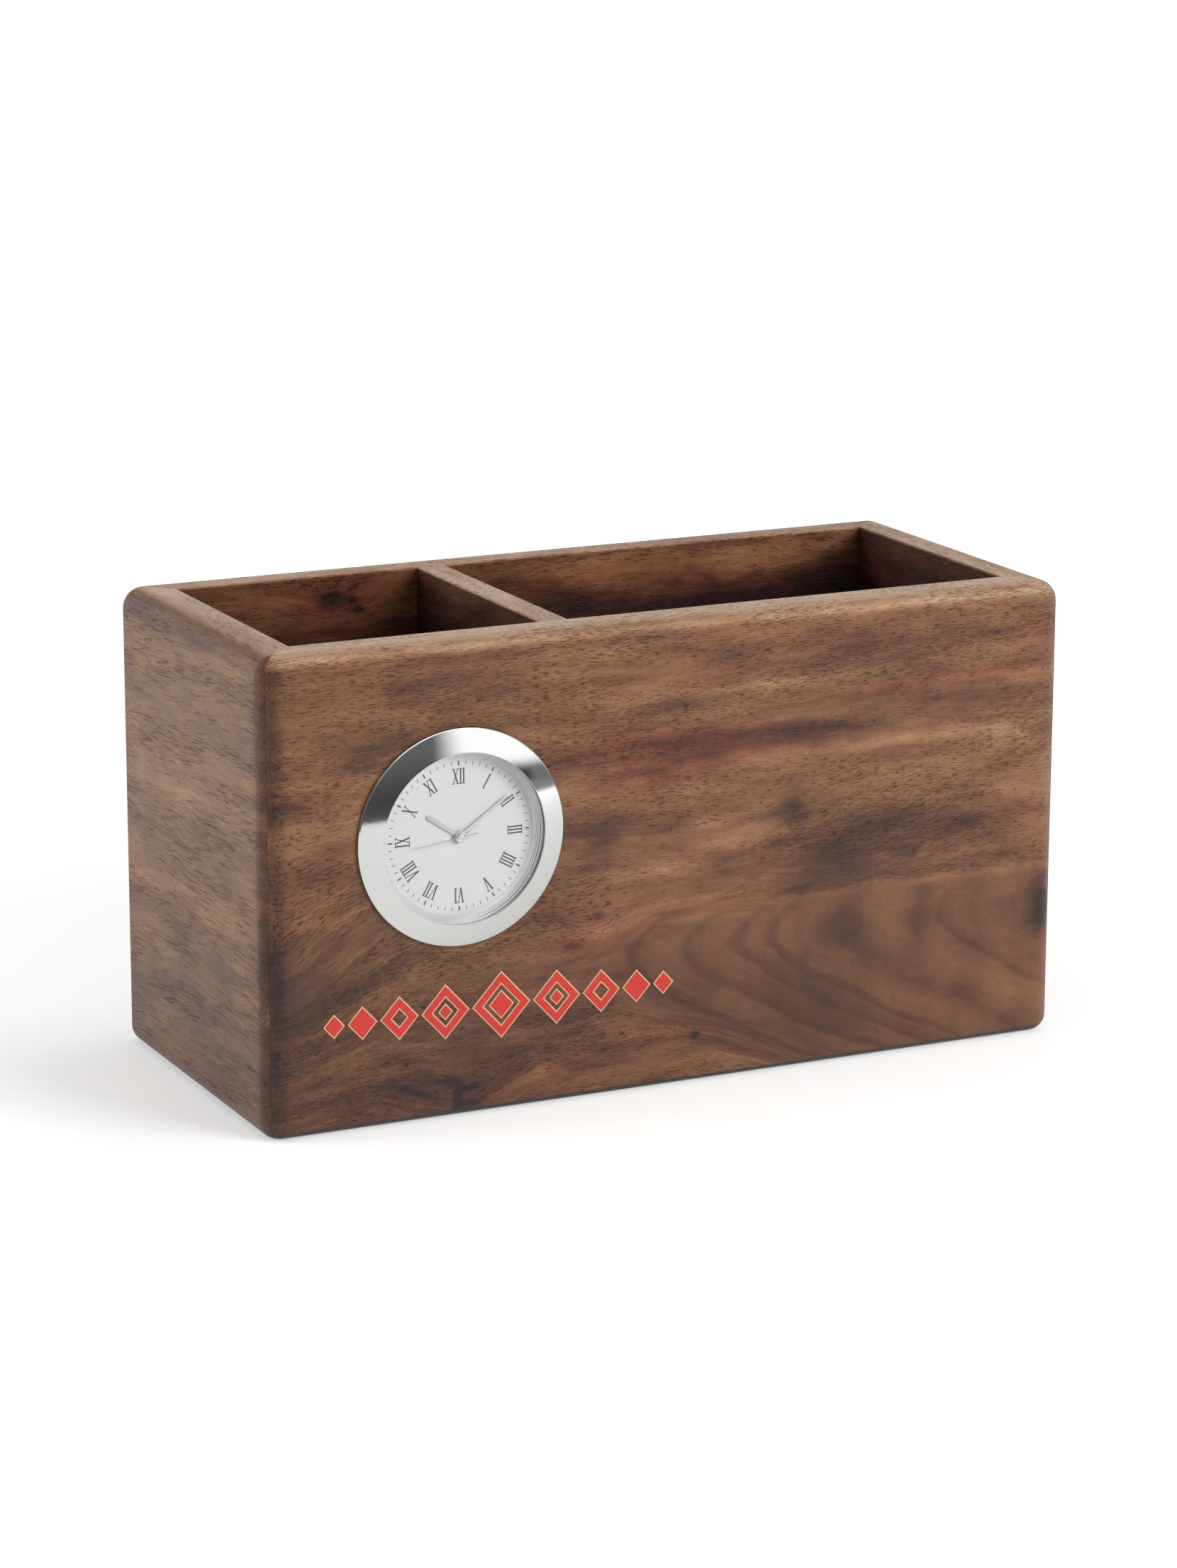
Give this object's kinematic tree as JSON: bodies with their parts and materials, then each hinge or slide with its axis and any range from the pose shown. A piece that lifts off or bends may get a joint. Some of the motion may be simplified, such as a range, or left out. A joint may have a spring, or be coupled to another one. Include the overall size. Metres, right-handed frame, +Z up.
{
  "type": "pen holder clock",
  "caption": "Mitred walnut pen holder with a small and a large open compartment and a round quartz clock insert in its front.",
  "frame": {"origin": "centre of the underside of the box, on the surface it stands on", "axes": "+X along the front from left to right, +Y from the front with the clock to the back, +Z up"},
  "size_m": [0.202, 0.0926, 0.11],
  "materials": {
    "walnut": "oiled, satin",
    "cream_ink": "matte print",
    "red_ink": "satin print",
    "polished_ring": "polished",
    "window_glass": "clear",
    "clear_gasket": "translucent",
    "silver_cone": "satin silver",
    "dial_white": "satin white",
    "black_plastic": "moulded",
    "black_rubber": "ribbed",
    "hand_silver": "polished",
    "movement_plastic": "moulded",
    "gear_plastic": "moulded",
    "brass": "bright",
    "steel_screws": "plain",
    "steel": "plain",
    "copper_wire": "enamelled copper",
    "board_green": "solder mask"
  },
  "bodies": {
    "box": {"front_board": "walnut", "back_board": "walnut", "left_board": "walnut", "right_board": "walnut", "divider": "walnut", "bottom_panel": "walnut", "decal_outline": "cream_ink", "decal_fill": "red_ink"},
    "insert": {"bezel": "polished_ring", "lens": "window_glass", "lens_gasket": "clear_gasket", "reflector_ring": "silver_cone", "dial": "dial_white", "case": "black_plastic", "grip_ring": "black_rubber", "main_plate": "movement_plastic", "train_bridge": "movement_plastic", "plate_screws": "steel_screws", "bridge_screws": "steel_screws", "coil_screws": "steel_screws", "stator": "steel", "coil_core": "steel", "coil_winding": "copper_wire", "circuit_board": "board_green", "driver_chip": "black_plastic", "quartz_crystal": "steel", "positive_contact": "brass", "negative_contact": "brass"},
    "second": {"seconds_wheel": "gear_plastic", "second_hand": "hand_silver"},
    "third": {"third_wheel": "gear_plastic"},
    "centre": {"centre_wheel": "gear_plastic"},
    "intermediate": {"intermediate_wheel": "gear_plastic"},
    "rotor": {"rotor_pinion": "gear_plastic", "rotor_magnet": "steel"},
    "minute": {"cannon_pinion": "brass", "minute_hand": "hand_silver"},
    "motion": {"minute_wheel": "gear_plastic"},
    "hour": {"hour_wheel": "gear_plastic", "hour_hand": "hand_silver"},
    "setting": {"set_pinion": "gear_plastic", "set_knob": "movement_plastic"},
    "cell": {"button_cell": "steel"},
    "door": {"battery_door": "black_plastic"}
  },
  "joints": [
    {"name": "insert_pull", "type": "slide", "parent": "box", "child": "insert", "axis": [0, -1, 0], "range_m": [0, 0.03]},
    {"name": "minute_spin", "type": "hinge", "parent": "insert", "child": "minute", "pos_m": [-0.0541, -0.045, 0.0655], "axis": [0, 1, 0], "continuous": true},
    {"name": "hour_spin", "type": "hinge", "parent": "insert", "child": "hour", "pos_m": [-0.0541, -0.045, 0.0655], "axis": [0, 1, 0], "continuous": true},
    {"name": "minute_wheel_spin", "type": "hinge", "parent": "insert", "child": "motion", "pos_m": [-0.0541, -0.045, 0.0595], "axis": [0, 1, 0], "continuous": true},
    {"name": "setting_spin", "type": "hinge", "parent": "insert", "child": "setting", "pos_m": [-0.0541, -0.045, 0.0535], "axis": [0, 1, 0], "continuous": true},
    {"name": "second_spin", "type": "hinge", "parent": "insert", "child": "second", "pos_m": [-0.0541, -0.045, 0.0655], "axis": [0, 1, 0], "continuous": true},
    {"name": "third_spin", "type": "hinge", "parent": "insert", "child": "third", "pos_m": [-0.0609, -0.045, 0.0655], "axis": [0, 1, 0], "continuous": true},
    {"name": "centre_spin", "type": "hinge", "parent": "insert", "child": "centre", "pos_m": [-0.0541, -0.045, 0.0655], "axis": [0, 1, 0], "continuous": true},
    {"name": "intermediate_spin", "type": "hinge", "parent": "insert", "child": "intermediate", "pos_m": [-0.0506, -0.045, 0.07156], "axis": [0, 1, 0], "continuous": true},
    {"name": "rotor_spin", "type": "hinge", "parent": "insert", "child": "rotor", "pos_m": [-0.04496, -0.045, 0.06951], "axis": [0, 1, 0], "continuous": true},
    {"name": "door_pull", "type": "slide", "parent": "insert", "child": "door", "axis": [0, 1, 0], "range_m": [0, 0.024]},
    {"name": "cell_pull", "type": "slide", "parent": "insert", "child": "cell", "axis": [0, 1, 0], "range_m": [0, 0.012]}
  ],
  "couplings": [
    {"joint": "hour_spin", "follows": "minute_spin", "ratio": 0.083333},
    {"joint": "minute_wheel_spin", "follows": "minute_spin", "ratio": -0.33333},
    {"joint": "setting_spin", "follows": "minute_spin", "ratio": 1},
    {"joint": "third_spin", "follows": "second_spin", "ratio": -0.125},
    {"joint": "centre_spin", "follows": "second_spin", "ratio": 0.016667},
    {"joint": "intermediate_spin", "follows": "second_spin", "ratio": -6},
    {"joint": "rotor_spin", "follows": "second_spin", "ratio": 30},
    {"joint": "cell_pull", "follows": "door_pull", "ratio": 0.5}
  ]
}
